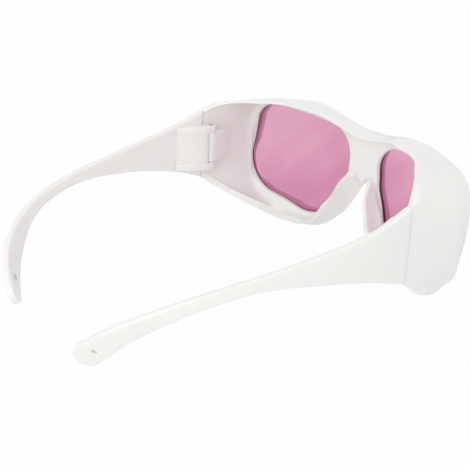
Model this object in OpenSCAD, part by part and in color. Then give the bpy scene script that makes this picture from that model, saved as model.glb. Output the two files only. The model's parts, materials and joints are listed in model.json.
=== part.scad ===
// Wrap-around laser safety glasses: a deep moulded front, two curved lenses, two folding temples.
// Millimetres. Every shape is worked out in a frame whose origin is midway between the hinges,
// with y = 0 where the temples part from the front and the lenses towards -Y.
// The last lines tip the glasses so that they stand on the front's lower edge and the temple tips.

/* [Front] */
// Half of the width across the hinges, to their outside faces
hinge_half_w = 75; // [72:0.5:80]
// From the hinges forward to the outside of the bridge
front_depth = 48; // [46:0.5:52]
// From the hinges forward to the widest place
widest_y = 12; // [10:0.5:14]
// How square the plan outline is: 2 is an ellipse
plan_power = 4.7; // [4.2:0.1:5]
// Height of the front and of the temple where they meet
hinge_h = 34; // [32:0.5:38]
// Wall of the side shields and of the lower edge
wall = 3; // [2.6:0.1:3.4]
// Depth of the brow ledge over the outer corners
ledge_side = 31; // [28:0.5:33]
// Depth of the brow ledge over the nose
ledge_mid = 12.5; // [10:0.5:13]
// Thickness of the ledge along its inner edge
ledge_t = 1.1; // [1:0.1:1.8]
// Rise of the ledge's inner edge above the hinge end
brow_rise = 7.8; // [7:0.2:9]
// Swell of the brow between the lens and the ledge's inner edge
brow_swell = 2; // [0.5:0.5:3]
// Drop of the lower edge below the hinge end
cheek_drop = 22.5; // [20:0.5:24]
// Inward sweep of the lower edge under the cheek
cheek_in = 17.5; // [15:0.5:19]
// Height of the top of the nose arch, from the middle of the hinge
arch_z = -6; // [-8:0.5:-5]
// How far the nose flanges reach back from the outside
nose_reach = 22; // [20:0.5:23]
// Thickness of the nose flanges
flange_t = 2.4; // [2:0.1:3]

/* [Lenses] */
// Thickness of a lens
lens_t = 2.4; // [2.2:0.1:3]
// Radius of the front's rear face behind a lens
lens_r = 89; // [86:1:96]
// Turn of each lens towards its side, in degrees
lens_wrap = 9.8; // [8:0.2:11]
// From the middle plane to the middle of a lens
lens_mid_x = 41; // [40:0.5:42]
// From the outside of the bridge back to the rear face at the middle of a lens
lens_back = 5.9; // [5.6:0.1:6.4]
// Lip behind a lens
lip = 1.2; // [1:0.1:1.4]
// Depth of the groove that holds a lens
groove_d = 1.2; // [0.8:0.1:1.5]
// Gap between a lens and its groove
lens_gap = 0.1; // [0.05:0.05:0.2]

/* [Hinges] */
// Diameter of a hinge pin
pin_d = 1.6; // [1.2:0.1:2]
// Gap round a pin in the bores
pin_gap = 0.05; // [0.03:0.01:0.08]
// Radius of the arms' knuckles
knuckle_r = 2.6; // [2.4:0.1:3]
// How far the arms stand proud of the tongue between them
arm_proud = 0.5; // [0.3:0.1:0.8]
// From the parting plane forward to the pin
pin_y = 3; // [2.5:0.5:5]
// Height of the front's tongue between the two arms of a temple
tongue_h = 15; // [12:0.5:17]
// Length of the tongue's slope into the side wall
tongue_len = 18; // [14:1:22]
// Height of each arm
arm_h = 3.4; // [3:0.2:4]
// How far the arms run back along the inside of a temple
arm_len = 17; // [14:1:18]
// Running gap between parts of a hinge
run_gap = 0.3; // [0.25:0.05:0.4]
// Gap between the ends of the front and of a temple
part_gap = 0.3; // [0.3:0.1:0.8]
// Height of the middle of the hinge above the middle of the hinge end
hinge_z = -0.5; // [-1.5:0.5:1]

/* [Temples] */
// From the hinges back to the end of a temple
temple_len = 124; // [116:0.5:132]
// Thickness of a temple
temple_t = 3; // [2.6:0.1:3.2]
// Height at the slim waist
waist_h = 5.6; // [5:0.2:8]
// Width of the rounded tip
tip_w = 11; // [9:0.5:12]
// Drop of the end of a temple below the middle of the hinge
tip_drop = 38; // [34:0.5:42]
// Inward sweep of the tip
tip_in = 47; // [42:0.5:50]
// Turn of the tip's outer face downwards, in degrees
tip_turn = 26; // [14:2:30]
// Rounding of the long edges
edge_r = 1; // [0.6:0.1:1.2]
// Diameter of the cord hole in a tip
cord_d = 2.4; // [2:0.1:3]
// From the end of a tip to its cord hole
cord_back = 11; // [8:0.5:12]

/* [Hidden] */
$fn = 48;
eps = 0.01;

// A smooth value from a list of [where, value] pairs, level at its last pair
function seg(t, x, i = 0) = i >= len(t) - 2 || x < t[i + 1][0] ? i : seg(t, x, i + 1);
function slope(t, i) = i == len(t) - 1 ? 0 * t[i][1]
    : i == 0 ? (t[1][1] - t[0][1]) / (t[1][0] - t[0][0])
    : (t[i + 1][1] - t[i - 1][1]) / (t[i + 1][0] - t[i - 1][0]);
function smooth(t, x) = let(i = seg(t, x), w = t[i + 1][0] - t[i][0],
    k = min(1, max(0, (x - t[i][0]) / w)), a = slope(t, i) * w, b = slope(t, i + 1) * w)
    t[i][1] * (1 - k) * (1 - k) * (1 + 2 * k) + a * k * (1 - k) * (1 - k)
    + t[i + 1][1] * k * k * (3 - 2 * k) - b * k * k * (1 - k);

// The front is lofted through upright sections that fan out from a post on the middle plane.
// A section's angle is measured from the side, so that 90 is the middle of the bridge.
hinge_a = -atan(widest_y / hinge_half_w);
post_d = front_depth - widest_y;
function outer_r(a) = a < 0 ? hinge_half_w / cos(a)
    : pow(pow(cos(a) / hinge_half_w, plan_power)
    + pow(sin(a) / post_d, plan_power), -1 / plan_power);

// Inward reach of the ledge, height of its edge, swell and squareness of the brow, and bulge
// of the cheek below it
top_z = hinge_h / 2;
ledge_tab = [[hinge_a, wall * 1.15], [-7, 2 * wall - 0.5], [-1, ledge_side * 0.38], [10, ledge_side * 0.73],
    [26, ledge_side], [43, (ledge_side + ledge_mid) / 2 - 1.5], [64, ledge_mid], [90, ledge_mid]];
brow_tab = [[hinge_a, top_z], [-7, top_z + brow_rise * 0.36], [-1, top_z + brow_rise * 0.74],
    [10, top_z + brow_rise * 0.88], [26, top_z + brow_rise], [43, top_z + brow_rise * 0.87],
    [64, top_z + brow_rise * 0.48], [90, top_z + brow_rise * 0.35]];
swell_tab = [[hinge_a, 0], [10, -brow_swell / 2], [26, -brow_swell / 2], [43, brow_swell],
    [64, brow_swell], [90, brow_swell]];
square_tab = [[hinge_a, 8], [-3, 3.5], [10, 3.2], [26, 4], [60, 9], [90, 7]];
bulge_tab = [[hinge_a, 2.7], [0, 2.5], [8, 2.2], [22, 2.3], [34, 2.6], [42, 2.7], [90, 2.7]];

// Inward reach and height of the lower edge, which rises over the nose
low_z = -top_z - cheek_drop;
arch_h = arch_z - low_z;
cheek_tab = [[hinge_a, 0], [-4, cheek_in * 0.08], [2, cheek_in * 0.33], [9, cheek_in * 0.75],
    [15, cheek_in * 0.97], [22, cheek_in * 0.95], [30, cheek_in * 0.64], [38, cheek_in * 0.4],
    [50, cheek_in * 0.12], [62, 0], [90, 0]];
low_tab = [[hinge_a, -top_z], [-4, -top_z - cheek_drop * 0.21], [2, -top_z - cheek_drop * 0.44],
    [9, -top_z - cheek_drop * 0.64], [15, -top_z - cheek_drop * 0.77],
    [22, -top_z - cheek_drop * 0.92], [30, low_z], [38, low_z], [47, low_z + arch_h * 0.06],
    [54, low_z + arch_h * 0.18], [62, low_z + arch_h * 0.35], [71, low_z + arch_h * 0.585],
    [77, low_z + arch_h * 0.776], [82, arch_z - 2], [90, arch_z]];

// How far the nose flanges reach back and rise behind the lens plane
pad_tab = [[hinge_a, 0], [28, 0], [34, 0], [37, nose_reach * 0.5], [41, nose_reach * 0.93], [46, nose_reach],
    [51, nose_reach], [55, nose_reach * 0.88], [60, nose_reach * 0.79], [64, nose_reach * 0.74],
    [68, nose_reach * 0.65], [76, nose_reach * 0.45], [90, nose_reach * 0.27]];
rise_tab = [[hinge_a, 0], [28, 0], [34, 0], [37, 2], [41, 7.5], [46, 12], [51, 14.5], [55, 14], [64, 14],
    [68, 15.5], [76, 12], [83, 6], [90, 2]];

// Middle of the ball that a lens follows, with y counted forwards, and the rear face of the
// front, which is part of that ball behind a lens and straight across the bridge
lens_mid_y = front_depth - lens_back;
lens_c = [lens_mid_x - lens_r * sin(lens_wrap), lens_mid_y - lens_r * cos(lens_wrap)];
lens_cz = 2;
function ball_r(a, z) = let(c = lens_c - [0, widest_y], k = c * [cos(a), sin(a)])
    k + sqrt(lens_r * lens_r - pow(z - lens_cz, 2) - c * c + k * k);
nasal_a = 74;
function face_r(a, z) = a > nasal_a ? ball_r(nasal_a, z) * sin(nasal_a) / sin(a) : ball_r(a, z);

// One section of the front, as a closed ring of [reach, height] points
arc_n = 6;
function quarter(p, q, k, power, swell = 0) = let(u = 1 - pow(max(0, cos(90 * k)), 2 / power),
    w = pow(sin(90 * k), 2 / power))
    [p[0] + (q[0] - p[0]) * u, p[1] + (q[1] - p[1]) * w + swell * 4 * u * (1 - u) * w];
// The inside stays behind the lens's face, and below the lens it flares out to a thin rim
lens_low = -31;
flare_h = 5;
function kept_back(a, p, rim) = let(f = face_r(a, p[1]),
    t = min(1, max(0, (lens_low - p[1]) / flare_h)))
    [min(p[0], f + t * max(0, rim - f)), p[1]];
function section(a) = let(
    ro = outer_r(a), ri = ro - wall,
    rl = ro - smooth(ledge_tab, a), zl = smooth(brow_tab, a),
    rb = ro - smooth(cheek_tab, a), zb = smooth(low_tab, a),
    rf = min(rb - wall, ro - smooth(pad_tab, a)), zf = zb + smooth(rise_tab, a),
    d = [rf - rb, zf - zb] / norm([rf - rb, zf - zb]),
    up = [d[1], -d[0]] * flange_t,
    rr = kept_back(a, [rb - wall, zb], rb - wall)[0],
    zr = zb + (rr - rb) * d[1] / d[0] + flange_t / -d[0] + 1,
    pw = smooth(square_tab, a), sw = smooth(swell_tab, a), cheek_power = smooth(bulge_tab, a),
    belly = [ro, 0], inside = [ri, 0])
    concat(
        [for (k = [arc_n:-1:1]) quarter(belly, [rb, zb], k / arc_n, cheek_power)],
        [for (k = [0:arc_n + 1]) quarter(belly, [rl, zl], k / (arc_n + 1), pw, sw)],
        [for (k = [arc_n:-1:0])
            kept_back(a, quarter(inside, [rl, zl - ledge_t], k / arc_n, pw, sw / 2), ri)],
        [for (k = [1:arc_n - 1])
            kept_back(a, quarter(inside, [rr, zr], k / (arc_n - 1), cheek_power), rb - wall)],
        [[rf, zf] + up, [rf, zf]]);
function placed(ring, a) = [for (p = ring)
    [p[0] * cos(a), -widest_y - p[0] * sin(a), p[1]]];

// A closed skin over a list of rings of equally many points, an even number. An end is filled
// across its ring, from each point to the one opposite.
module loft(rings) {
    n = len(rings[0]);
    m = len(rings);
    points = [for (r = rings) each r];
    sides = [for (j = [0:m - 2], i = [0:n - 1], k = [0, 1])
        let(a = j * n + i, b = j * n + (i + 1) % n)
        k == 0 ? [a, b + n, b] : [a, a + n, b + n]];
    cap = [for (i = [0:n / 2 - 2], k = [0, 1])
        k == 0 ? [i, i + 1, n - 1 - i] : [i + 1, n - 2 - i, n - 1 - i]];
    far_cap = [for (f = cap) [for (k = [2:-1:0]) (m - 1) * n + f[k]]];
    polyhedron(points, concat(sides, cap, far_cap), convexity = 8);
}

front_step = 2.8;
half_angles = [for (k = [0:round((90 - hinge_a) / front_step)])
    hinge_a + (90 - hinge_a) * k / round((90 - hinge_a) / front_step)];
module shell() {
    right_half = [for (a = half_angles) placed(section(a), a)];
    n = len(half_angles);
    loft(concat(right_half, [for (k = [n - 2:-1:0])
        [for (p = right_half[k]) [-p[0], p[1], p[2]]]]));
}

// The lens outline is a belt round four discs, [along the lens, height, radius]
lens_discs = [[-18.4, 5.5, 12.4], [18.8, 8, 11.1], [12.9, -7.2, 19], [-4.5, -7.5, 21.9],
    [-14.8, 0, 15.6]];
function belt_turn(p, q) = let(d = [q[0] - p[0], q[1] - p[1]])
    atan2(d[1], d[0]) + acos((p[2] - q[2]) / norm(d));
function belt(discs, grow, steps = 8) = [for (n = len(discs), i = [0:n - 1]) let(
    before = discs[(i + n - 1) % n], here = discs[i], after = discs[(i + 1) % n],
    a0 = belt_turn(before, here), a1 = belt_turn(here, after),
    turn = (a1 - a0) % 360, sweep = turn > 0 ? turn - 360 : turn)
    for (k = [0:steps]) let(a = a0 + sweep * k / steps)
    [here[0] + (here[2] + grow) * cos(a), here[1] + (here[2] + grow) * sin(a)]];

// The band between two balls about the lens's middle, as far as the lens outline reaches
module lens_band(grow, r0, r1) {
    translate([lens_c[0], -lens_c[1], 0]) rotate([0, 0, lens_wrap]) intersection() {
        translate([0, -r0 / 2, 0]) rotate([90, 0, 0]) linear_extrude(height = r1)
            polygon(belt(lens_discs, grow));
        translate([0, 0, lens_cz]) difference() {
            sphere(r = r1, $fn = 120);
            sphere(r = r0, $fn = 120);
        }
    }
}
module lens() {
    lens_band(groove_d - lens_gap, lens_r + lip + lens_gap, lens_r + lip + lens_gap + lens_t);
}
module lens_seat() {
    lens_band(0, lens_r - 1, lens_r + 4 * wall);
    lens_band(groove_d, lens_r + lip, lens_r + lip + lens_t + 2 * lens_gap);
}

// Hinge, for the +X side
axis_x = hinge_half_w - wall - run_gap - knuckle_r;
tongue_r = knuckle_r - arm_proud;
tongue_z = hinge_z - tongue_h / 2;
arm_z = [tongue_z - run_gap - arm_h, tongue_z + tongue_h + run_gap];
inside_x = hinge_half_w - wall;
bite = wall / 2;
module upright(r, z, h) {
    translate([axis_x, -pin_y, z]) cylinder(r = r, h = h);
}
module pin_bore() {
    upright(pin_d / 2 + pin_gap, arm_z[0] - 1, arm_z[1] - arm_z[0] + arm_h + 2);
}
module plan_slab(z, h, outline) {
    translate([0, 0, z]) linear_extrude(height = h) polygon(outline);
}

// The front's half of a hinge: a knuckle on a tongue that slopes into the side wall
module tongue() {
    upright(tongue_r, tongue_z, tongue_h);
    plan_slab(tongue_z, tongue_h, [
        [axis_x - tongue_r, -pin_y], [axis_x - tongue_r, -pin_y - tongue_r],
        [inside_x + bite, -pin_y - tongue_len], [inside_x + bite, -pin_y + tongue_r / 2],
        [axis_x, -pin_y + tongue_r / 2]]);
}
module front_frame() {
    color("white") stand() difference() {
        union() {
            shell();
            for (s = [0, 1]) mirror([s, 0, 0]) tongue();
        }
        for (s = [0, 1]) mirror([s, 0, 0]) {
            lens_seat();
            pin_bore();
        }
    }
}
module left_lens() { color("hotpink", 0.6) stand() lens(); }
module right_lens() { color("hotpink", 0.6) stand() mirror([1, 0, 0]) lens(); }

// A temple is an upright strip of even thickness along a line that bends down and inwards.
// The table gives how far back, in and down the line has come at each share of its length.
line_tab = [[0, [0, 0, 0]], [0.1, [0.12, -0.02, 0.012]], [0.23, [0.282, 0, 0.022]],
    [0.42, [0.508, 0.085, 0.055]], [0.51, [0.619, 0.147, 0.1]], [0.61, [0.734, 0.24, 0.191]],
    [0.67, [0.793, 0.312, 0.267]], [0.73, [0.85, 0.408, 0.373]], [0.8, [0.905, 0.54, 0.51]],
    [0.865, [0.946, 0.675, 0.66]], [0.93, [0.974, 0.82, 0.825]], [1, [0.992, 0.99, 1]],
    [1.05, [1, 1.12, 1.12]]];
narrow_tab = [[0, 1], [0.09, 0.665], [0.185, 0.415], [0.37, 0.113], [0.46, 0.025], [0.54, 0]];
widen_tab = [[0.54, 0], [0.61, 0.04], [0.67, 0.17], [0.73, 0.41], [0.8, 0.72], [0.87, 0.92], [0.95, 1]];
function line_at(t) = let(v = smooth(line_tab, t))
    [hinge_half_w - tip_in * v[1], part_gap + (temple_len - part_gap) * v[0], -tip_drop * v[2]];
function unit(v) = v / norm(v);
function along(t) = t == 0 ? [0, 1, 0] : unit(line_at(t + 0.01) - line_at(max(0, t - 0.01)));
turn_tab = [[0, 0], [0.6, 0], [0.8, tip_turn], [1.05, tip_turn]];
function outward(t) = let(d = along(t), n = unit([d[1], -d[0], 0]), a = smooth(turn_tab, t))
    n * cos(a) - cross(n, d) * sin(a);
function on_strip(t, ahead, across, depth) = let(d = along(t), n = outward(t))
    line_at(t) + ahead * d + across * cross(n, d) - depth * n;
function strip_w(t) = waist_h + (hinge_h - waist_h) * smooth(narrow_tab, t)
    + (tip_w - waist_h) * smooth(widen_tab, t);

// One ring of the strip: a rectangle with rounded corners
corner_n = 3;
function strip_ring(t, ahead, w) = let(r = min(edge_r, w / 2)) [for (q = [0:3], j = [0:corner_n])
    let(a = 90 * (q + j / corner_n), across = q == 0 || q == 3 ? 1 : -1, in = q < 2 ? 1 : -1)
    on_strip(t, ahead, -across * (w / 2 - r) - r * cos(a),
        temple_t / 2 + in * (temple_t / 2 - r) + r * sin(a))];
round_at = 0.963;
strip_steps = 30;
round_steps = 4;
temple_rings = concat(
    [for (k = [0:strip_steps]) let(t = round_at * k / strip_steps) strip_ring(t, 0, strip_w(t))],
    [for (k = [1:round_steps]) let(q = 88 * k / round_steps)
        strip_ring(round_at, tip_w / 2 * sin(q), strip_w(round_at) * cos(q))]);
module arm(z) {
    upright(knuckle_r, z, arm_h);
    plan_slab(z, arm_h, [
        [axis_x - knuckle_r, -pin_y], [axis_x + knuckle_r, -pin_y],
        [axis_x + knuckle_r, part_gap + bite / 2], [inside_x + bite, part_gap + bite],
        [inside_x + bite, arm_len], [axis_x - knuckle_r, pin_y]]);
}
module web() {
    plan_slab(arm_z[0] + arm_h / 2, arm_z[1] - arm_z[0], [
        [axis_x - tongue_r, -pin_y + tongue_r + run_gap],
        [axis_x + knuckle_r, -pin_y + tongue_r + run_gap],
        [axis_x + knuckle_r, part_gap + bite / 2], [inside_x + bite, part_gap + bite],
        [inside_x + bite, arm_len], [axis_x - tongue_r, pin_y]]);
}
module temple() {
    n = outward(round_at);
    difference() {
        union() {
            loft(temple_rings);
            for (z = arm_z) arm(z);
            web();
        }
        pin_bore();
        translate(on_strip(round_at, tip_w / 2 - cord_back, 0, temple_t / 2))
            rotate([0, acos(n[2]), atan2(n[1], n[0])])
                cylinder(d = cord_d, h = 3 * temple_t, center = true);
    }
}
module left_temple() { color("whitesmoke") stand() temple(); }
module right_temple() { color("whitesmoke") stand() mirror([1, 0, 0]) temple(); }

module hinge_pin() {
    upright(pin_d / 2, arm_z[0], arm_z[1] - arm_z[0] + arm_h);
}
module left_hinge_pin() { color("silver") stand() hinge_pin(); }
module right_hinge_pin() { color("silver") stand() mirror([1, 0, 0]) hinge_pin(); }

// The glasses stand on the front's lower edge and the two temple tips
front_points = [for (a = half_angles) each placed(section(a), a)];
temple_points = [for (r = temple_rings) each r];
function lowest(points) = let(z = min([for (p = points) p[2]]))
    [for (p = points) if (p[2] == z) p][0];
front_low = lowest(front_points);
temple_low = lowest(temple_points);
tilt = atan2(front_low[2] - temple_low[2], temple_low[1] - front_low[1]);
tilted = [for (p = concat(front_points, temple_points))
    [p[1] * cos(tilt) - p[2] * sin(tilt), p[1] * sin(tilt) + p[2] * cos(tilt)]];
function least(k) = min([for (p = tilted) p[k]]);
function most(k) = max([for (p = tilted) p[k]]);
module stand() {
    translate([0, -(least(0) + most(0)) / 2, -least(1)]) rotate([tilt, 0, 0]) children();
}

front_frame();
left_lens();
right_lens();
left_temple();
right_temple();
left_hinge_pin();
right_hinge_pin();
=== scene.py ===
import json
import math
import bmesh
import bpy
import numpy as np
from mathutils import Matrix, Vector


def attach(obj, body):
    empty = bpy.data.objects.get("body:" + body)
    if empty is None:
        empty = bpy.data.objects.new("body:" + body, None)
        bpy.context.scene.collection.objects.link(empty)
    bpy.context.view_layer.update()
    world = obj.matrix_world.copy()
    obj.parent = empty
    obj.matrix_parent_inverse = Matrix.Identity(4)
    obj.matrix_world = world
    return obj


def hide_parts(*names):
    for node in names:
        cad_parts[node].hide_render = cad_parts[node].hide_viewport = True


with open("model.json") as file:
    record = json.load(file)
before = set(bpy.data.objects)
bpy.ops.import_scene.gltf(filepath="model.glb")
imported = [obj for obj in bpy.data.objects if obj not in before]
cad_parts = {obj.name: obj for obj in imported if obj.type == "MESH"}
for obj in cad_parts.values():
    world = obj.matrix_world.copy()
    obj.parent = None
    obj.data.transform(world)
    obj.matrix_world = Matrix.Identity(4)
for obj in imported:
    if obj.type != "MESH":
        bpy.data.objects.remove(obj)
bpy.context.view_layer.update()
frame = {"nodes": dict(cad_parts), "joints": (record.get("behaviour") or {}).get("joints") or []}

scene = bpy.context.scene
scene.view_settings.view_transform = "Standard"
print("frame loaded")

# The shapes are worked out in millimetres, with y = 0 where the temples part from the front and
# x = 0 midway, and then stood on the table, as the hinge axes say.
hinge = {joint["name"]: joint for joint in frame["joints"]}["left_fold"]
upright = Vector(hinge["axis"])
tilt = math.atan2(-upright.y, upright.z)
axisX = hinge["pos_m"][0] * 1000
pinForward = 3  # how far the pins stand ahead of the parting
shiftY = hinge["pos_m"][1] * 1000 + pinForward * math.cos(tilt)
shiftZ = hinge["pos_m"][2] * 1000 + pinForward * math.sin(tilt)


# Turns points about X by the tilt, shifts them and gives metres
def stood(points):
    x, y, z = points[..., 0], points[..., 1], points[..., 2]
    c, s = math.cos(tilt), math.sin(tilt)
    return np.stack([x, y * c - z * s + shiftY, y * s + z * c + shiftZ], -1) / 1000


# The camera, in degrees and millimetres; it looks at the aim from the distance
camera = {"azimuth": 233.421, "elevation": 22.528, "roll": 2.739, "distance": 474.435,
          "aim": (-12.98, 40.0, -9.023), "lens": 86.36, "sensor": 36.0, "clip": (0.01, 20)}


def makeCamera(s):
    a, e, r = (math.radians(s[k]) for k in ("azimuth", "elevation", "roll"))
    back = Vector((math.sin(a) * math.cos(e), -math.cos(a) * math.cos(e), math.sin(e)))
    side = (-back).cross(Vector((0, 0, 1))).normalized()
    top = side.cross(-back)
    right = side * math.cos(r) + top * math.sin(r)
    above = top * math.cos(r) - side * math.sin(r)
    aim = Vector(stood(np.array(s["aim"])))
    data = bpy.data.cameras.new("camera")
    data.lens, data.sensor_width = s["lens"], s["sensor"]
    data.clip_start, data.clip_end = s["clip"]
    cam = bpy.data.objects.new("camera", data)
    scene.collection.objects.link(cam)
    turn = Matrix((right, above, back)).transposed().to_4x4()
    cam.matrix_world = Matrix.Translation(aim + back * s["distance"] / 1000) @ turn
    scene.camera = cam


makeCamera(camera)
print("camera set")


# Shader maths: a Wire is a socket that takes part in sums
class Wire:
    def __init__(self, look, socket):
        self.look, self.socket = look, socket

    def maths(self, operation, other, swapped=False):
        pair = (other, self) if swapped else (self, other)
        return self.look.node("ShaderNodeMath", {"operation": operation}, {0: pair[0], 1: pair[1]})[0]

    def __add__(self, other):
        return self.maths("ADD", other)

    def __sub__(self, other):
        return self.maths("SUBTRACT", other)

    def __mul__(self, other):
        return self.maths("MULTIPLY", other)

    def __rsub__(self, other):
        return self.maths("SUBTRACT", other, True)

    __radd__ = __add__
    __rmul__ = __mul__

    def over(self, other):
        return self.maths("MAXIMUM", other)


# Nodes of one material, or of the world
class Look:
    def __init__(self, owner):
        self.owner = owner
        owner.use_nodes = True
        self.tree = owner.node_tree
        self.tree.nodes.clear()

    # Makes a node, sets it up, fills its sockets and gives its outputs as wires
    def node(self, kind, settings=None, sockets=None):
        made = self.tree.nodes.new(kind)
        for key, value in (settings or {}).items():
            setattr(made, key, value)
        for key, value in (sockets or {}).items():
            if isinstance(value, Wire):
                self.tree.links.new(value.socket, made.inputs[key])
            else:
                made.inputs[key].default_value = value
        return [Wire(self, out) for out in made.outputs]

    # Noise on the object's own coordinates, turned and drawn out along the turned axes
    def noise(self, scale, detail, drawn=(1, 1, 1), rough=0.5, turn=(0, 0, 0)):
        place = self.node("ShaderNodeTexCoord")[3]
        spot = self.node("ShaderNodeMapping", {"vector_type": "TEXTURE"},
                         {"Vector": place, "Rotation": turn, "Scale": drawn})[0]
        return self.node("ShaderNodeTexNoise", {}, {"Vector": spot, "Scale": scale, "Detail": detail,
                                                    "Roughness": rough})[0]

    def mixed(self, share, first, second):
        return self.node("ShaderNodeMix", {"data_type": "RGBA"}, {0: share, 6: first, 7: second})[2]

    def bump(self, height, strength, reach):
        return self.node("ShaderNodeBump", {}, {"Height": height, "Strength": strength,
                                                "Distance": reach})[0]

    def finish(self, shader, output="ShaderNodeOutputMaterial"):
        self.node(output, {}, {0: shader})
        return self.owner


# A material of its own, empty
def newLook(name):
    return Look(bpy.data.materials.new(name))


# White moulded plastic: the colour drifts a little, the gloss has fine scuffs, the skin a faint
# orange peel, and light goes a little way in. A noise has a scale, a detail, a stretch and a roughness.
white = {"clean": (0.905, 0.898, 0.882, 1), "worn": (0.88, 0.87, 0.85, 1), "wornShare": 0.6, "drift": (26, 4),
         "gloss": 0.27, "scuffed": 0.42, "scuffs": (140, 6, (1, 4, 1), 0.7), "coat": 0.25, "coatGloss": 0.18,
         "peel": (900, 2), "peelDepth": 0.00002, "peelStrength": 0.12, "index": 1.5,
         "milky": 0.4, "milkyReach": 0.0015, "milkyTint": (1, 0.92, 0.85)}


def whitePlastic(name, s):
    look = newLook(name)
    drift = look.noise(*s["drift"])
    scuffs = look.noise(*s["scuffs"])
    peel = look.noise(*s["peel"])
    colour = look.mixed(drift * s["wornShare"], s["clean"], s["worn"])
    gloss = (scuffs * (s["scuffed"] - s["gloss"])) + s["gloss"]
    skin = look.node("ShaderNodeBsdfPrincipled", {}, {
        "Base Color": colour, "Roughness": gloss, "IOR": s["index"], "Coat Weight": s["coat"],
        "Coat Roughness": s["coatGloss"], "Subsurface Weight": s["milky"],
        "Subsurface Scale": s["milkyReach"], "Subsurface Radius": s["milkyTint"],
        "Normal": look.bump(peel, s["peelStrength"], s["peelDepth"])})[0]
    return look.finish(skin)


# Pink filter plastic: light passes through it tinted, deeper towards the lower corner at the nose and in
# slanting streaks of painted reflection, and its polished face mirrors a little, more at a slant
pink = {"tint": (0.862, 0.607, 0.715, 1), "deep": (0.765, 0.45, 0.605, 1), "mirror": (1, 0.93, 0.97, 1),
        "gloss": 0.04, "smeared": 0.16, "smears": (60, 5, (1, 1, 3.3), 0.6),
        "front": 0.04, "side": 0.6, "falloff": 5.0, "facing": 0.5,
        "corner": (0.014, 0.012), "lean": (0.55, 0.85), "fade": 0.05,
        "reflectionStreakDepth": 1.0, "reflectionStreaks": (70, 3, (7, 1, 1), 0.55), "reflectionStreakTurn": 38}


def pinkLens(name, s):
    look = newLook(name)
    x, _, z = look.node("ShaderNodeSeparateXYZ", {}, {0: look.node("ShaderNodeTexCoord")[3]})
    # away from the lower corner at the nose, in shares of the fade
    away = ((x.maths("ABSOLUTE", 0) - s["corner"][0]) * (s["lean"][0] / s["fade"])
            + (z - s["corner"][1]) * (s["lean"][1] / s["fade"]))
    # the slanting streaks are a painted reflection, laid into the depth of the tint
    reflectionStreaks = look.noise(*s["reflectionStreaks"], (0, math.radians(s["reflectionStreakTurn"]), 0))
    depth = (1 - away).over(0) + (reflectionStreaks - 0.5) * s["reflectionStreakDepth"]
    smears = look.noise(*s["smears"])
    tint = look.mixed(depth.over(0), s["tint"], s["deep"])
    through = look.node("ShaderNodeBsdfTransparent", {}, {"Color": tint})[0]
    gloss = (smears * (s["smeared"] - s["gloss"])) + s["gloss"]
    mirror = look.node("ShaderNodeBsdfGlossy", {}, {"Color": s["mirror"], "Roughness": gloss})[0]
    glance = look.node("ShaderNodeLayerWeight", {}, {"Blend": s["facing"]})[1]
    shine = (glance.maths("POWER", s["falloff"]) * (s["side"] - s["front"])) + s["front"]
    face = look.node("ShaderNodeMixShader", {}, {0: shine, 1: through, 2: mirror})[0]
    return look.finish(face)


# The cut edge of a lens, near black: the deep tint of its edge together with painted shade of the groove it
# sits in, with marks of grinding
lensEdgeAndShade = {"deep": (0.055, 0.006, 0.022, 1), "light": (0.11, 0.016, 0.05, 1), "gloss": 0.35, "matt": 0.55,
            "grind": (420, 4, (1, 1, 5), 0.6), "strength": 0.2, "depth": 0.00005}


def lensRim(name, s):
    look = newLook(name)
    grind = look.noise(*s["grind"])
    skin = look.node("ShaderNodeBsdfPrincipled", {}, {
        "Base Color": look.mixed(grind, s["deep"], s["light"]),
        "Roughness": (grind * (s["matt"] - s["gloss"])) + s["gloss"],
        "Normal": look.bump(grind, s["strength"], s["depth"])})[0]
    return look.finish(skin)


# Drawn steel of the hinge pins
steel = {"bright": (0.62, 0.62, 0.63, 1), "dull": (0.42, 0.42, 0.43, 1), "gloss": 0.28, "matt": 0.48,
         "draw": (900, 4, (1, 1, 20), 0.6), "strength": 0.15, "depth": 0.00002}


def drawnSteel(name, s):
    look = newLook(name)
    draw = look.noise(*s["draw"])
    skin = look.node("ShaderNodeBsdfPrincipled", {}, {
        "Base Color": look.mixed(draw, s["bright"], s["dull"]), "Metallic": 1.0,
        "Roughness": (draw * (s["matt"] - s["gloss"])) + s["gloss"],
        "Normal": look.bump(draw, s["strength"], s["depth"])})[0]
    return look.finish(skin)


whiteFrame = whitePlastic("frameWhite", white)
whiteTemple = whitePlastic("templeWhite", white)
pinkFilter = pinkLens("lensPink", pink)
rimWithPaintedShade = lensRim("lensEdgeAndShade", lensEdgeAndShade)
pinSteel = drawnSteel("pinSteel", steel)
print("materials made")


# A mesh object from points in millimetres, stood on the table; slots give each face its material
def makePiece(name, points, faces, materials, slots=None):
    mesh = bpy.data.meshes.new(name)
    mesh.from_pydata(stood(points).reshape(-1, 3).tolist(), [], faces)
    for material in materials:
        mesh.materials.append(material)
    if slots is not None:
        mesh.polygons.foreach_set("material_index", slots)
    mesh.validate()
    piece = bpy.data.objects.new(name, mesh)
    scene.collection.objects.link(piece)
    return piece


# Quads between neighbouring rings of equally many points, each ring closed on itself
def skinFaces(rings, count):
    j, i = np.meshgrid(np.arange(rings - 1), np.arange(count), indexing="ij")
    a, b = j * count + i, j * count + (i + 1) % count
    return np.stack([a, a + count, b + count, b], -1).reshape(-1, 4).tolist()


# Fills a ring of an even number of points, from each point to the one opposite
def acrossFaces(count, start, flipped):
    i = np.arange(count // 2 - 1)
    quads = np.stack([i, i + 1, count - 2 - i, count - 1 - i], -1) + start
    return (quads[:, ::-1] if flipped else quads).tolist()


# A closed skin over rings, with its first and last ring filled
def loft(name, rings, materials):
    n, m = rings.shape[:2]
    faces = skinFaces(n, m) + acrossFaces(m, 0, False) + acrossFaces(m, (n - 1) * m, True)
    return makePiece(name, rings, faces, materials)


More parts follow.
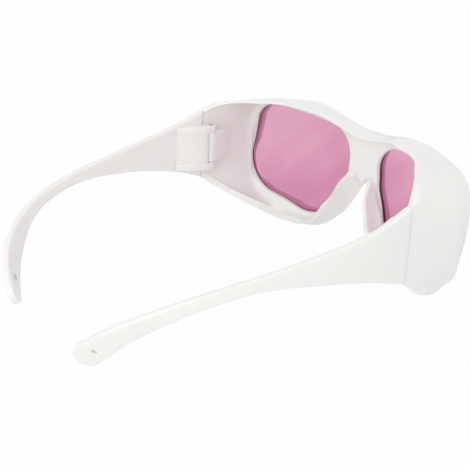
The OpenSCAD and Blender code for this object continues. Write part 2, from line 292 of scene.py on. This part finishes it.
# Turns every face of a closed mesh outwards
def outwards(piece):
    bm = bmesh.new()
    bm.from_mesh(piece.data)
    bmesh.ops.recalc_face_normals(bm, faces=bm.faces)
    bm.to_mesh(piece.data)
    bm.free()


# Rounds edges sharper than the angle, by a width in millimetres
def bevel(piece, width, angle=38, segments=3):
    step = piece.modifiers.new("bevel", "BEVEL")
    step.width, step.segments, step.limit_method = width / 1000, segments, "ANGLE"
    step.angle_limit, step.use_clamp_overlap = math.radians(angle), True


# Cuts another piece away, or joins it on
def cutWith(piece, cutter, operation="DIFFERENCE"):
    step = piece.modifiers.new("cut", "BOOLEAN")
    step.object, step.operation, step.solver = cutter, operation, "MANIFOLD"


# Bakes a piece's modifiers into its mesh and keeps edges sharper than the angle
def settle(piece, helpers=(), angle=36):
    graph = bpy.context.evaluated_depsgraph_get()
    done = bpy.data.meshes.new_from_object(piece.evaluated_get(graph))
    piece.modifiers.clear()
    piece.data = done
    done.shade_smooth()
    done.set_sharp_from_angle(angle=math.radians(angle))
    for helper in helpers:
        bpy.data.objects.remove(helper)


# Cubic through [where, value] pairs, with slopes from the neighbours and level at the end
def smoothAt(table, x):
    where = np.array([p[0] for p in table], float)
    value = np.array([np.atleast_1d(p[1]) for p in table], float)
    slope = np.zeros_like(value)
    slope[0] = (value[1] - value[0]) / (where[1] - where[0])
    slope[1:-1] = (value[2:] - value[:-2]) / (where[2:] - where[:-2])[:, None]
    x = np.asarray(x, float)
    i = np.clip(np.searchsorted(where, x, "right") - 1, 0, len(where) - 2)
    w = (where[i + 1] - where[i])[..., None]
    k = np.clip((x[..., None] - where[i][..., None]) / w, 0, 1)
    a, b = slope[i] * w, slope[i + 1] * w
    out = (value[i] * (1 - k) ** 2 * (1 + 2 * k) + a * k * (1 - k) ** 2
           + value[i + 1] * k * k * (3 - 2 * k) - b * k * k * (1 - k))
    return out[..., 0] if value.shape[1] == 1 else out


# Turns points about Z
def turned(points, degrees):
    c, s = math.cos(math.radians(degrees)), math.sin(math.radians(degrees))
    x, y = points[..., 0], points[..., 1]
    return np.stack([x * c - y * s, x * s + y * c, points[..., 2]], -1)


# Flips x for the right side, where side is -1
def mirrored(points, side):
    return points * np.array([side, 1, 1])


# The front: upright sections fan out from a post on the middle plane, by their angle from the side
front = {"halfWidth": 75, "depth": 48, "widest": 12, "power": 4.7, "height": 34, "wall": 3, "edge": 0.7,
         "ledgeSide": 31, "ledgeMid": 12.5, "ledge": 1.1, "browRise": 7.8, "swell": 2, "cheekDrop": 22.5,
         "cheekIn": 17.5, "arch": -6, "noseReach": 22, "flange": 2.4,
         "melt": (70, 76), "meltStep": 0.05, "meltTop": -0.3, "meltEdges": 2.2, "rootUp": 1,
         "tuck": 2.2, "tuckInside": 0.35, "tuckFrom": -26, "lensLow": -31, "spread": 5, "nasal": 74,
         "step": 0.6, "even": 3, "lower": 22, "upper": 26, "roll": 10, "corner": 6, "search": 240}
lens = {"thick": 2.4, "radius": 89, "wrap": 9.8, "midX": 41, "back": 5.9, "lip": 1.2, "groove": 1.2,
        "gap": 0.1, "height": 2, "outline": 280, "arc": 40, "rings": 18, "middle": (2.0, -2.0),
        "behind": 1, "chamfer": 0.9, "chamferTop": 0.7, "round": 0.3, "darkShare": 0.86,
        "flare": 2.2, "frontLip": 0.3, "frontStep": 0.1,
        "flareAt": [[0, 0], [60, 0], [110, 0.3], [140, 1], [185, 1], [222, 1], [238, 0], [248, 0],
                    [270, 1], [330, 1], [350, 0.3], [360, 0]],
        "discs": [(-18.4, 5.5, 12.4), (18.8, 8, 11.1), (12.9, -7.2, 19), (-4.5, -7.5, 21.9),
                  (-14.8, 0, 15.6)]}
hingeA = -math.degrees(math.atan(front["widest"] / front["halfWidth"]))
wrap = math.radians(lens["wrap"])
lensC = np.array([lens["midX"] - lens["radius"] * math.sin(wrap),
                  front["depth"] - lens["back"] - lens["radius"] * math.cos(wrap)])
lensMiddle = np.array(lens["middle"])


# [angle, value] pairs: reach of the ledge, height, swell and squareness of the brow, inward sweep and
# height of the lower edge, lift of the cheek's corner, squareness of the cheek, reach and rise of the flanges
def frontTables(s):
    top, low = s["height"] / 2, -s["height"] / 2 - s["cheekDrop"]
    side, mid, rise, drop, cheek = (s[k] for k in ("ledgeSide", "ledgeMid", "browRise", "cheekDrop",
                                                   "cheekIn"))
    reach, height = s["noseReach"], s["arch"] - low
    return {
        "ledge": [[hingeA, s["wall"] * 1.15], [-7, 2 * s["wall"] - 0.5], [-1, side * 0.38],
                  [10, side * 0.73], [26, side], [43, (side + mid) / 2 - 1.5], [64, mid], [90, mid]],
        "brow": [[hingeA, top], [-7, top + rise * 0.36], [-1, top + rise * 0.74], [10, top + rise * 0.88],
                 [26, top + rise], [43, top + rise * 0.87], [64, top + rise * 0.48], [90, top + rise * 0.35]],
        "swell": [[hingeA, 0], [10, -s["swell"] / 2], [26, -s["swell"] / 2], [43, s["swell"]],
                  [64, s["swell"]], [90, s["swell"]]],
        "square": [[hingeA, 8], [-3, 3.5], [10, 3.2], [26, 4], [60, 9], [90, 7]],
        "cheek": [[hingeA, 0], [-4, cheek * 0.08], [2, cheek * 0.33], [9, cheek * 0.75], [15, cheek * 0.97],
                  [22, cheek * 0.95], [30, cheek * 0.64], [38, cheek * 0.4], [50, cheek * 0.12], [62, 0],
                  [90, 0]],
        "low": [[hingeA, -top], [-4, -top - drop * 0.21], [2, -top - drop * 0.44], [9, -top - drop * 0.64],
                [15, -top - drop * 0.77], [22, -top - drop * 0.92], [30, low], [38, low],
                [47, low + height * 0.06], [54, low + height * 0.18], [62, low + height * 0.35],
                [71, low + height * 0.585], [77, low + height * 0.776], [82, s["arch"] - 2], [90, s["arch"]]],
        "tuck": [[hingeA, 0], [4, 0], [12, s["tuck"]], [26, s["tuck"]], [34, 0], [90, 0]],
        "bulge": [[hingeA, 2.7], [0, 2.5], [8, 2.2], [22, 2.3], [34, 2.6], [42, 2.7], [90, 2.7]],
        "pad": [[hingeA, 0], [28, 0], [34, 0], [37, reach * 0.5], [41, reach * 0.93], [46, reach],
                [51, reach], [55, reach * 0.88], [60, reach * 0.79], [64, reach * 0.74],
                [68, reach * 0.65], [76, reach * 0.45], [90, reach * 0.27]],
        "rise": [[hingeA, 0], [28, 0], [34, 0], [37, 2], [41, 7.5], [46, 12], [51, 14.5], [55, 14],
                 [64, 14], [68, 15.5], [76, 12], [83, 6], [90, 2]]}


# Post to the outside: a straight side behind the post, a superellipse ahead of it
def outerReach(a, s):
    r = np.radians(a)
    behind = s["halfWidth"] / np.cos(r)
    curve = (np.abs(np.cos(r) / s["halfWidth"]) ** s["power"]
             + np.abs(np.sin(r) / (s["depth"] - s["widest"])) ** s["power"]) ** (-1 / s["power"])
    return np.where(a < 0, behind, curve)


# Post to the ball behind a lens, along the angle and at the height
def ballReach(a, z):
    r = np.radians(a)
    c = lensC - np.array([0, front["widest"]])
    k = c[0] * np.cos(r) + c[1] * np.sin(r)
    return k + np.sqrt(lens["radius"] ** 2 - (z - lens["height"]) ** 2 - c @ c + k * k)


# The ball's reach up to the nasal angle, and then a flat face across the bridge
def faceReach(a, z, s):
    n = s["nasal"]
    sine = np.sin(np.radians(np.maximum(a, 1)))
    flat = ballReach(np.full_like(a, n), z) * math.sin(math.radians(n)) / sine
    return np.where(a > n, flat, ballReach(a, z))


# A quarter of a superellipse from p to q, swelling upwards in its middle
def quarter(p, q, k, power, swell=0.0):
    u = 1 - np.maximum(0, np.cos(np.pi / 2 * k)) ** (2 / power)
    w = np.sin(np.pi / 2 * k) ** (2 / power)
    return np.stack([p[0] + (q[0] - p[0]) * u, p[1] + (q[1] - p[1]) * w + swell * 4 * u * (1 - u) * w], -1)


# Evens out neighbouring rings by a bell curve; the hinge end stays, and the middle plane mirrors
def evened(rings, spread):
    reach = 3 * spread
    weights = np.exp(-0.5 * (np.arange(-reach, reach + 1) / spread) ** 2)
    before = 2 * rings[:1] - rings[reach:0:-1]
    after = rings[-2:-2 - reach:-1]
    row = np.concatenate([before, rings, after])
    return sum(w * row[i:i + len(rings)] for i, w in enumerate(weights / weights.sum()))


# Closed rings of [reach, height], one for each angle
def frontSections(a, s):
    t = {k: smoothAt(v, a)[:, None] for k, v in frontTables(s).items()}
    a = a[:, None]
    ro = outerReach(a, s)
    ri, rl, zl, rb, zb = ro - s["wall"], ro - t["ledge"], t["brow"], ro - t["cheek"], t["low"]

    # the inside keeps behind the ball that a lens follows, and runs out to the rim below the lens
    def keptBack(points, rim):
        aa = np.broadcast_to(a, points[..., 0].shape)
        face = faceReach(aa, points[..., 1], s)
        share = np.clip((s["lensLow"] - points[..., 1]) / s["spread"], 0, 1)
        return np.stack([np.minimum(points[..., 0], face + share * np.maximum(0, rim - face)),
                         points[..., 1]], -1)

    # the cheek's corner is drawn up between the given height and the rim
    def tucked(points, part=1.0):
        share = np.clip((s["tuckFrom"] - points[..., 1]) / np.maximum(s["tuckFrom"] - zb, 1), 0, 1)
        return np.stack([points[..., 0], points[..., 1] + part * t["tuck"] * 4 * share * (1 - share)], -1)

    rr = keptBack(np.stack([rb - s["wall"], zb], -1), rb - s["wall"])[..., 0]
    rf, zf = np.minimum(rb - s["wall"], ro - t["pad"]), zb + t["rise"]

    # over the nose the flange melts into the flat back of the bridge
    own = np.clip((s["melt"][1] - a) / (s["melt"][1] - s["melt"][0]), 0, 1)
    rf = own * rf + (1 - own) * np.minimum(rf, rr - s["meltStep"])
    zf = own * zf + (1 - own) * np.minimum(zf, s["meltTop"] - s["meltEdges"] * s["edge"])
    flat = np.minimum(zf + s["flange"], s["meltTop"])
    length = np.hypot(rf - rb, zf - zb)
    dr, dz = (rf - rb) / length, (zf - zb) / length
    zr = own * (zb + (rr - rb) * dz / dr + s["flange"] / -dr + s["rootUp"]) + (1 - own) * flat
    zero = np.zeros_like(ro)
    e, half = s["edge"], s["ledge"] / 2
    rim = np.stack([rb, zb], -1)
    towardTip = np.stack([dr, dz], -1)
    tip = np.stack([rf, zf], -1)
    tipTop = (own[..., None] * (tip + np.stack([dz, -dr], -1) * s["flange"])
              + (1 - own)[..., None] * np.stack([rr, (zf + flat) / 2], -1))
    root = np.stack([rr, zr], -1)

    # the outer curve stops short of the rim by the edge's radius
    sweep = np.linspace(0, 1, s["search"])[None]
    gap = np.linalg.norm(quarter((ro, zero), (rb, zb), sweep, t["bulge"]) - rim, axis=-1)
    stop = sweep[0][np.clip((gap > e).sum(1) - 1, 0, s["search"] - 1)][:, None]
    lower = tucked(quarter((ro, zero), (rb, zb), np.linspace(1, 0, s["lower"] + 1)[None, :-1] * stop,
                           t["bulge"]))
    turn = np.linspace(np.pi / 2, 3 * np.pi / 2, s["roll"])[None, 1:-1]
    roll = np.stack([rl + half + half * np.cos(turn), zl - half + half * np.sin(turn)], -1)
    return np.concatenate([
        softCorner(rim + towardTip * e, rim, lower[:, :1]),
        lower,
        quarter((ro, zero), (rl + half, zl), np.linspace(0, 1, s["upper"])[None], t["square"], t["swell"]),
        roll,
        keptBack(quarter((ri, zero), (rl + half, zl - s["ledge"]), np.linspace(1, 0, s["upper"])[None],
                         t["square"], t["swell"] / 2), ri),
        keptBack(tucked(quarter((ri, zero), (rr, zr), np.linspace(0, 1, s["lower"])[None, 1:], t["bulge"]),
                        s["tuckInside"]), rb - s["wall"]),
        softCorner(tipTop + towards(tipTop, root) * e, tipTop, tipTop + towards(tipTop, tip) * e, 1),
        softCorner(tip + towards(tip, tipTop) * e, tip, tip - towardTip * e, 1)], 1)


# Unit directions from p to q
def towards(p, q):
    return (q - p) / np.linalg.norm(q - p, axis=-1, keepdims=True)


# A quadratic curve from p to q that a sharp corner pulls; last keeps its end point
def softCorner(p, corner, q, last=0):
    n = front["corner"]
    k = np.linspace(0, 1, n)[None, :n if last else n - 1, None]
    return p * (1 - k) ** 2 + 2 * corner * k * (1 - k) + q * k * k


# The belt round the lens's discs, evenly spaced along its length
def beltOutline(grow):
    discs, path = lens["discs"], []
    n = len(discs)

    def turn(p, q):
        d = np.array(q[:2]) - np.array(p[:2])
        return math.degrees(math.atan2(d[1], d[0]) + math.acos((p[2] - q[2]) / np.hypot(*d)))

    for i, here in enumerate(discs):
        a0, a1 = turn(discs[i - 1], here), turn(here, discs[(i + 1) % n])
        sweep = (a1 - a0) % 360 - 360
        for a in np.radians(np.linspace(a0, a0 + sweep, lens["arc"])):
            path.append((here[0] + (here[2] + grow) * math.cos(a), here[1] + (here[2] + grow) * math.sin(a)))
    path = np.array(path + path[:1])
    run = np.concatenate([[0], np.cumsum(np.hypot(*np.diff(path, axis=0).T))])
    at = np.linspace(0, run[-1], lens["outline"], endpoint=False)
    return np.stack([np.interp(at, run, path[:, 0]), np.interp(at, run, path[:, 1])], -1)


# Lays outline points on a ball about the lens's middle, and turns them into place
def onBall(outline, radius):
    u, z = outline[..., 0], outline[..., 1]
    ahead = np.sqrt(radius ** 2 - u ** 2 - (z - lens["height"]) ** 2)
    return turned(np.stack([u, -ahead, z], -1), lens["wrap"]) + np.array([lensC[0], -lensC[1], 0])


# The belt outline, grown further where the opening is flared
def flaredOutline(grow, flare):
    plain = beltOutline(grow)
    out = plain - lensMiddle
    share = smoothAt(lens["flareAt"], np.degrees(np.arctan2(out[:, 1], out[:, 0])) % 360)
    return plain + (beltOutline(grow + flare) - plain) * share[:, None]


# Carries [grow, radius, flare] round the outline and closes both ends with shrinking rings; the dark
# band, the edge's deep tint with painted shade of the groove, runs between two steps of the profile
def lensSolid(name, profile, materials, side, darkBand=None):
    shares = np.linspace(0, 1, lens["rings"] + 1)[1:-1]
    first, last = flaredOutline(*profile[0][::2]), flaredOutline(*profile[-1][::2])
    rings = [onBall(lensMiddle + (first - lensMiddle) * k, profile[0][1]) for k in shares]
    rings += [onBall(flaredOutline(grow, flare), radius) for grow, radius, flare in profile]
    rings += [onBall(lensMiddle + (last - lensMiddle) * k, profile[-1][1]) for k in shares[::-1]]
    rings = np.array(rings)
    n, m = rings.shape[:2]
    ends = np.array([onBall(lensMiddle, profile[0][1]), onBall(lensMiddle, profile[-1][1])])
    points = mirrored(np.concatenate([rings.reshape(-1, 3), ends]), side)
    i = np.arange(m)
    firstFan = np.stack([np.full(m, n * m), i, (i + 1) % m], -1)
    lastFan = np.stack([np.full(m, n * m + 1), (n - 1) * m + (i + 1) % m, (n - 1) * m + i], -1)
    faces = skinFaces(n, m) + firstFan.tolist() + lastFan.tolist()
    slots = np.zeros(len(faces), int)
    if darkBand:
        start = len(shares) + darkBand[0]
        slots[start * m:(len(shares) + darkBand[1]) * m] = 1
    piece = makePiece(name, points, faces, materials, slots)
    outwards(piece)
    return piece


# The opening's rear edge is broken, the groove lies between the two lips, and the front lip flares
def seatProfile():
    r, lip, g, flare = lens["radius"], lens["lip"], lens["groove"], lens["flare"]
    far, cut = r + lip + lens["thick"] + 2 * lens["gap"], g - lens["frontLip"]
    top = far + lens["frontStep"]
    return [(lens["chamfer"], r - lens["behind"], 0), (0, r + lens["chamferTop"], 0), (0, r + lip, 0),
            (g, r + lip, 0), (g, far, 0), (0, far, cut), (0, top, cut), (0, top + flare - cut, flare),
            (0, r + 4 * front["wall"], flare)]


# The rim's corners are broken, and its dark part, deep tint with painted groove shade, ends a little short of
# the front face
def lensProfile():
    near = lens["radius"] + lens["lip"] + lens["gap"]
    far, g, b = near + lens["thick"], lens["groove"] - lens["gap"], lens["round"]
    dark = near + lens["thick"] * lens["darkShare"]
    return [(g - b, near, 0), (g, near + b, 0), (g, dark, 0), (g, far - b, 0), (g - b, far, 0)]


# Hinge: the front's tongue stands between two arms of the temple
joinery = {"knuckle": 2.6, "proud": 0.5, "tongueH": 15, "tongueLen": 18, "armH": 3.4, "armLen": 15,
           "run": 0.12, "part": 0.3, "mid": -0.5, "pin": 1.6, "pinGap": 0.05, "bore": (-30, 60),
           "edge": 0.35, "end": 0.3}


# Radius and foot of the tongue, inside of the wall, how deep the arms bite into it, feet of the two arms
def joinerySizes(s):
    tongueR = s["knuckle"] - s["proud"]
    tongueZ = s["mid"] - s["tongueH"] / 2
    armZ = (tongueZ - s["run"] - s["armH"], tongueZ + s["tongueH"] + s["run"])
    return {"tongueR": tongueR, "tongueZ": tongueZ, "inside": front["halfWidth"] - front["wall"],
            "bite": front["wall"] / 2, "armZ": armZ}


# An upright wall over a plan outline
def slab(name, outline, z, height, material, side):
    outline = np.array(outline, float)
    n = len(outline)
    points = np.array([np.column_stack([outline, np.full(n, h)]) for h in (z, z + height)])
    faces = skinFaces(2, n) + [list(range(n)), list(range(2 * n - 1, n - 1, -1))]
    piece = makePiece(name, mirrored(points, side), faces, [material])
    outwards(piece)
    return piece


# An upright round bar on the hinge axis
def post(name, radius, z, height, material, side, sides=40):
    a = np.linspace(0, 2 * np.pi, sides, endpoint=False)
    ring = np.stack([axisX + radius * np.cos(a), -pinForward + radius * np.sin(a)], -1)
    return slab(name, ring, z, height, material, side)


# A bar that cuts a pin's bore
def pinBore(material, side):
    return post("bore", joinery["pin"] / 2 + joinery["pinGap"], *joinery["bore"], material, side)


# The tongue: a knuckle round the pin and an arm that slopes into the side wall
def makeTongue(side):
    s, k = joinery, joinerySizes(joinery)
    wallX = k["inside"] + k["bite"]
    body = post("tongueKnuckle", k["tongueR"], k["tongueZ"], s["tongueH"], whiteFrame, side)
    bevel(body, s["edge"])
    arm = slab("tongueArm", [
        (axisX - k["tongueR"], -pinForward), (axisX - k["tongueR"], -pinForward - k["tongueR"]),
        (wallX, -pinForward - s["tongueLen"]), (wallX, -pinForward + k["tongueR"] / 2),
        (axisX, -pinForward + k["tongueR"] / 2)], k["tongueZ"], s["tongueH"], whiteFrame, side)
    bevel(arm, s["edge"])
    return [body, arm]


# The front: one half's sections laid round the post and mirrored, with tongues on and the seats cut out
def makeFront(s):
    half = np.linspace(hingeA, 90, int((90 - hingeA) / s["step"]))
    rings = evened(frontSections(half, s), s["even"])
    a = np.radians(half)[:, None]
    right = np.stack([rings[..., 0] * np.cos(a), -s["widest"] - rings[..., 0] * np.sin(a), rings[..., 1]], -1)
    whole = np.concatenate([right, mirrored(right[-2::-1], -1)])
    shell = loft("frontShell", whole, [whiteFrame])
    outwards(shell)
    helpers = []
    for side in (1, -1):
        for piece in makeTongue(side):
            cutWith(shell, piece, "UNION")
            helpers.append(piece)
    for side in (1, -1):
        seat = lensSolid("seat", seatProfile(), [whiteFrame], side)
        bore = pinBore(whiteFrame, side)
        cutWith(shell, seat)
        cutWith(shell, bore)
        helpers += [seat, bore]
    settle(shell, helpers)
    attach(shell, "front")
    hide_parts("front_frame")


makeFront(front)
print("front made")

for name, side in (("left", 1), ("right", -1)):
    # the lens edge band takes the near-black material of painted groove shade
    glass = lensSolid(name + "Lens", lensProfile(), [pinkFilter, rimWithPaintedShade], side, (0, 2))
    settle(glass)
    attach(glass, "front")
    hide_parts(name + "_lens")
print("lenses made")


# A temple: an upright strip along a line that bends down and inwards
temple = {"length": 124, "thick": 3, "seam": 0.02, "edge": 1.0, "endEdge": 0.12, "endAngle": 60,
          "waist": 5.6, "tip": 11, "drop": 38, "inward": 47, "probe": 0.01, "steps": 110, "corner": 5,
          "roundAt": 0.963, "roundTurn": 88, "roundSteps": 16,
          "cord": 2.4, "cordBack": 11, "cordBreak": 0.35, "cordSides": 40,
          "line": [[0, [0, 0, 0]], [0.1, [0.12, -0.02, 0.012]], [0.23, [0.282, 0, 0.022]],
                   [0.42, [0.508, 0.085, 0.055]], [0.51, [0.619, 0.147, 0.1]], [0.61, [0.734, 0.24, 0.191]],
                   [0.67, [0.793, 0.312, 0.267]], [0.73, [0.85, 0.408, 0.373]], [0.8, [0.905, 0.54, 0.51]],
                   [0.865, [0.946, 0.675, 0.66]], [0.93, [0.974, 0.82, 0.825]], [1, [0.992, 0.99, 1]],
                   [1.05, [1, 1.12, 1.12]]],
          "narrow": [[0, 1], [0.09, 0.665], [0.185, 0.415], [0.37, 0.113], [0.46, 0.025], [0.54, 0]],
          "widen": [[0.54, 0], [0.61, 0.04], [0.67, 0.17], [0.73, 0.41], [0.8, 0.72], [0.87, 0.92],
                    [0.95, 1]],
          "turn": [[0, 0], [0.6, 0], [0.8, 26], [1.05, 26]]}


# Where the line has come, its direction and the outward side, for shares of its length
def stripFrame(t, s):
    def lineAt(share):
        v = smoothAt(s["line"], share)
        return np.stack([front["halfWidth"] - s["inward"] * v[..., 1],
                         s["seam"] + (s["length"] - s["seam"]) * v[..., 0],
                         -s["drop"] * v[..., 2]], -1)

    ahead = lineAt(t + s["probe"]) - lineAt(np.maximum(0, t - s["probe"]))
    ahead[t == 0] = (0, 1, 0)
    ahead /= np.linalg.norm(ahead, axis=-1, keepdims=True)
    level = np.stack([ahead[..., 1], -ahead[..., 0], np.zeros_like(t)], -1)
    level /= np.linalg.norm(level, axis=-1, keepdims=True)
    turn = np.radians(smoothAt(s["turn"], t))[..., None]
    out = level * np.cos(turn) - np.cross(level, ahead) * np.sin(turn)
    return lineAt(t), ahead, out


# A rectangle with rounded corners at each share, and a round end
def stripRings(s):
    t = s["roundAt"] * np.linspace(0, 1, s["steps"] + 1)
    q = np.radians(np.linspace(0, s["roundTurn"], s["roundSteps"] + 1)[1:])
    width = (s["waist"] + (front["height"] - s["waist"]) * smoothAt(s["narrow"], t)
             + (s["tip"] - s["waist"]) * smoothAt(s["widen"], t))
    reach = np.concatenate([np.zeros_like(t), s["tip"] / 2 * np.sin(q)])
    width = np.concatenate([width, width[-1] * np.cos(q)])
    t = np.concatenate([t, np.full(len(q), s["roundAt"])])
    at, ahead, out = stripFrame(t, s)
    across = np.cross(out, ahead)
    r = np.minimum(s["edge"], width / 2)[:, None]
    n = s["corner"] + 1
    turnStep = np.tile(np.linspace(0, 1, n), 4)
    corner = np.repeat([0, 1, 2, 3], n)
    a = np.radians(90 * (corner + turnStep))[None]
    sign = np.where((corner == 0) | (corner == 3), 1, -1)[None]
    inner = np.where(corner < 2, 1, -1)[None]
    side = -sign * (width[:, None] / 2 - r) - r * np.cos(a)
    depth = s["thick"] / 2 + inner * (s["thick"] / 2 - r) + r * np.sin(a)
    return ((at + reach[:, None] * ahead)[:, None] + side[..., None] * across[:, None]
            - depth[..., None] * out[:, None])


# A temple: the strip with two knuckled arms and a web between them, and its bores cut out
def makeTemple(name, side, s):
    k, j = joinerySizes(joinery), joinery
    strip = loft(name + "Temple", mirrored(stripRings(s), side), [whiteTemple])
    outwards(strip)
    bevel(strip, s["endEdge"], s["endAngle"])
    wallX, partY = k["inside"] + k["bite"], j["part"] + k["bite"]
    helpers = []
    for z in k["armZ"]:
        helpers.append(post("armKnuckle", j["knuckle"], z, j["armH"], whiteTemple, side))
        helpers.append(slab("arm", [
            (axisX - j["knuckle"], -pinForward), (axisX + j["knuckle"], -pinForward),
            (axisX + j["knuckle"], j["part"] + k["bite"] / 2), (wallX, partY),
            (wallX, j["armLen"] / 2), (k["inside"] + j["end"], j["armLen"]),
            (axisX - j["knuckle"], pinForward)], z, j["armH"], whiteTemple, side))
    helpers.append(slab("web", [
        (axisX - k["tongueR"], -pinForward + k["tongueR"] + j["run"]),
        (axisX + j["knuckle"], -pinForward + k["tongueR"] + j["run"]),
        (axisX + j["knuckle"], j["part"] + k["bite"] / 2), (wallX, partY),
        (wallX, j["armLen"]), (axisX - k["tongueR"], pinForward)],
        k["armZ"][0] + j["armH"] / 2, k["armZ"][1] - k["armZ"][0], whiteTemple, side))
    for piece in helpers:
        bevel(piece, j["edge"])
        cutWith(strip, piece, "UNION")
    bores = [pinBore(whiteTemple, side), cordHole(side, s)]
    for piece in bores:
        cutWith(strip, piece)
    settle(strip, helpers + bores)
    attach(strip, name + "_arm")
    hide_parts(name + "_temple")


# A spool that cuts the hole and breaks both of its edges
def cordHole(side, s):
    at, ahead, out = (v[0] for v in stripFrame(np.array([s["roundAt"]]), s))
    middle = at + (s["tip"] / 2 - s["cordBack"]) * ahead - out * s["thick"] / 2
    across = np.cross(out, ahead)
    r, h, c = s["cord"] / 2, s["thick"] / 2, s["cordBreak"]
    profile = [(r + 2 * c, h + c), (r, h - c), (r, c - h), (r + 2 * c, -h - c)]
    a = np.linspace(0, 2 * np.pi, s["cordSides"], endpoint=False)[:, None]
    rings = np.array([middle + out * d + w * (np.cos(a) * ahead + np.sin(a) * across) for w, d in profile])
    m = len(a)
    faces = skinFaces(4, m) + [list(range(m)), list(range(4 * m - 1, 3 * m - 1, -1))]
    piece = makePiece("hole", mirrored(rings, side), faces, [whiteTemple])
    outwards(piece)
    return piece


for name, side in (("left", 1), ("right", -1)):
    makeTemple(name, side, temple)
    pin = frame["nodes"][name + "_hinge_pin"]
    pin.data.materials.clear()
    pin.data.materials.append(pinSteel)
print("temples made")

# Floor, backdrop and light
studio = {"floor": (0.93, 0.93, 0.93, 1), "floorWorn": (0.92, 0.92, 0.92, 1), "grain": (3, 2),
          "reach": 4.0, "glow": 0.95, "plain": (1, 1, 1, 1), "world": 0.80, "lampSize": 0.9,
          "lampAim": (0, 0, 0.03),
          "lamps": [("key", (-0.5, -0.3, 1.2), 0.6), ("fill", (-0.9, 1.0, 0.6), 3.2),
                    ("rear", (-0.4, 1.3, 0.3), 2.2)]}


# The rays that show the background: camera, glossy and transmission rays
def seenRays(look):
    rays = look.node("ShaderNodeLightPath")
    return rays[0].over(rays[3]).over(rays[6])


# A pale floor that takes the shadow and looks almost white to the camera
def makeFloor(s):
    look = newLook("floor")
    grain = look.mixed(look.noise(*s["grain"]), s["floor"], s["floorWorn"])
    flat = look.node("ShaderNodeBsdfDiffuse", {}, {"Color": grain})[0]
    glow = look.node("ShaderNodeEmission", {}, {"Color": s["plain"], "Strength": 1.0})[0]
    mixed = look.node("ShaderNodeMixShader", {}, {0: seenRays(look) * s["glow"], 1: flat, 2: glow})[0]
    r = s["reach"]
    mesh = bpy.data.meshes.new("floor")
    mesh.from_pydata([(-r, -r, 0), (r, -r, 0), (r, r, 0), (-r, r, 0)], [], [(0, 1, 2, 3)])
    mesh.materials.append(look.finish(mixed))
    floor = bpy.data.objects.new("floor", mesh)
    scene.collection.objects.link(floor)


# Even light all round, seen as plain white
def makeWorld(s):
    look = Look(bpy.data.worlds.new("studio"))
    light = look.node("ShaderNodeBackground", {}, {"Color": s["plain"], "Strength": s["world"]})[0]
    shown = look.node("ShaderNodeBackground", {}, {"Color": s["plain"], "Strength": 1.0})[0]
    mixed = look.node("ShaderNodeMixShader", {}, {0: seenRays(look), 1: light, 2: shown})[0]
    scene.world = look.finish(mixed, "ShaderNodeOutputWorld")


# A round soft lamp that faces the glasses
def makeLamp(name, place, power, s):
    data = bpy.data.lights.new(name, "AREA")
    data.shape, data.size, data.energy = "DISK", s["lampSize"], power
    lamp = bpy.data.objects.new(name, data)
    scene.collection.objects.link(lamp)
    lamp.location = place
    lamp.rotation_mode = "QUATERNION"
    lamp.rotation_quaternion = (Vector(s["lampAim"]) - Vector(place)).to_track_quat("-Z", "Y")


makeFloor(studio)
makeWorld(studio)
for lamp in studio["lamps"]:
    makeLamp(*lamp, studio)
print("studio lit")
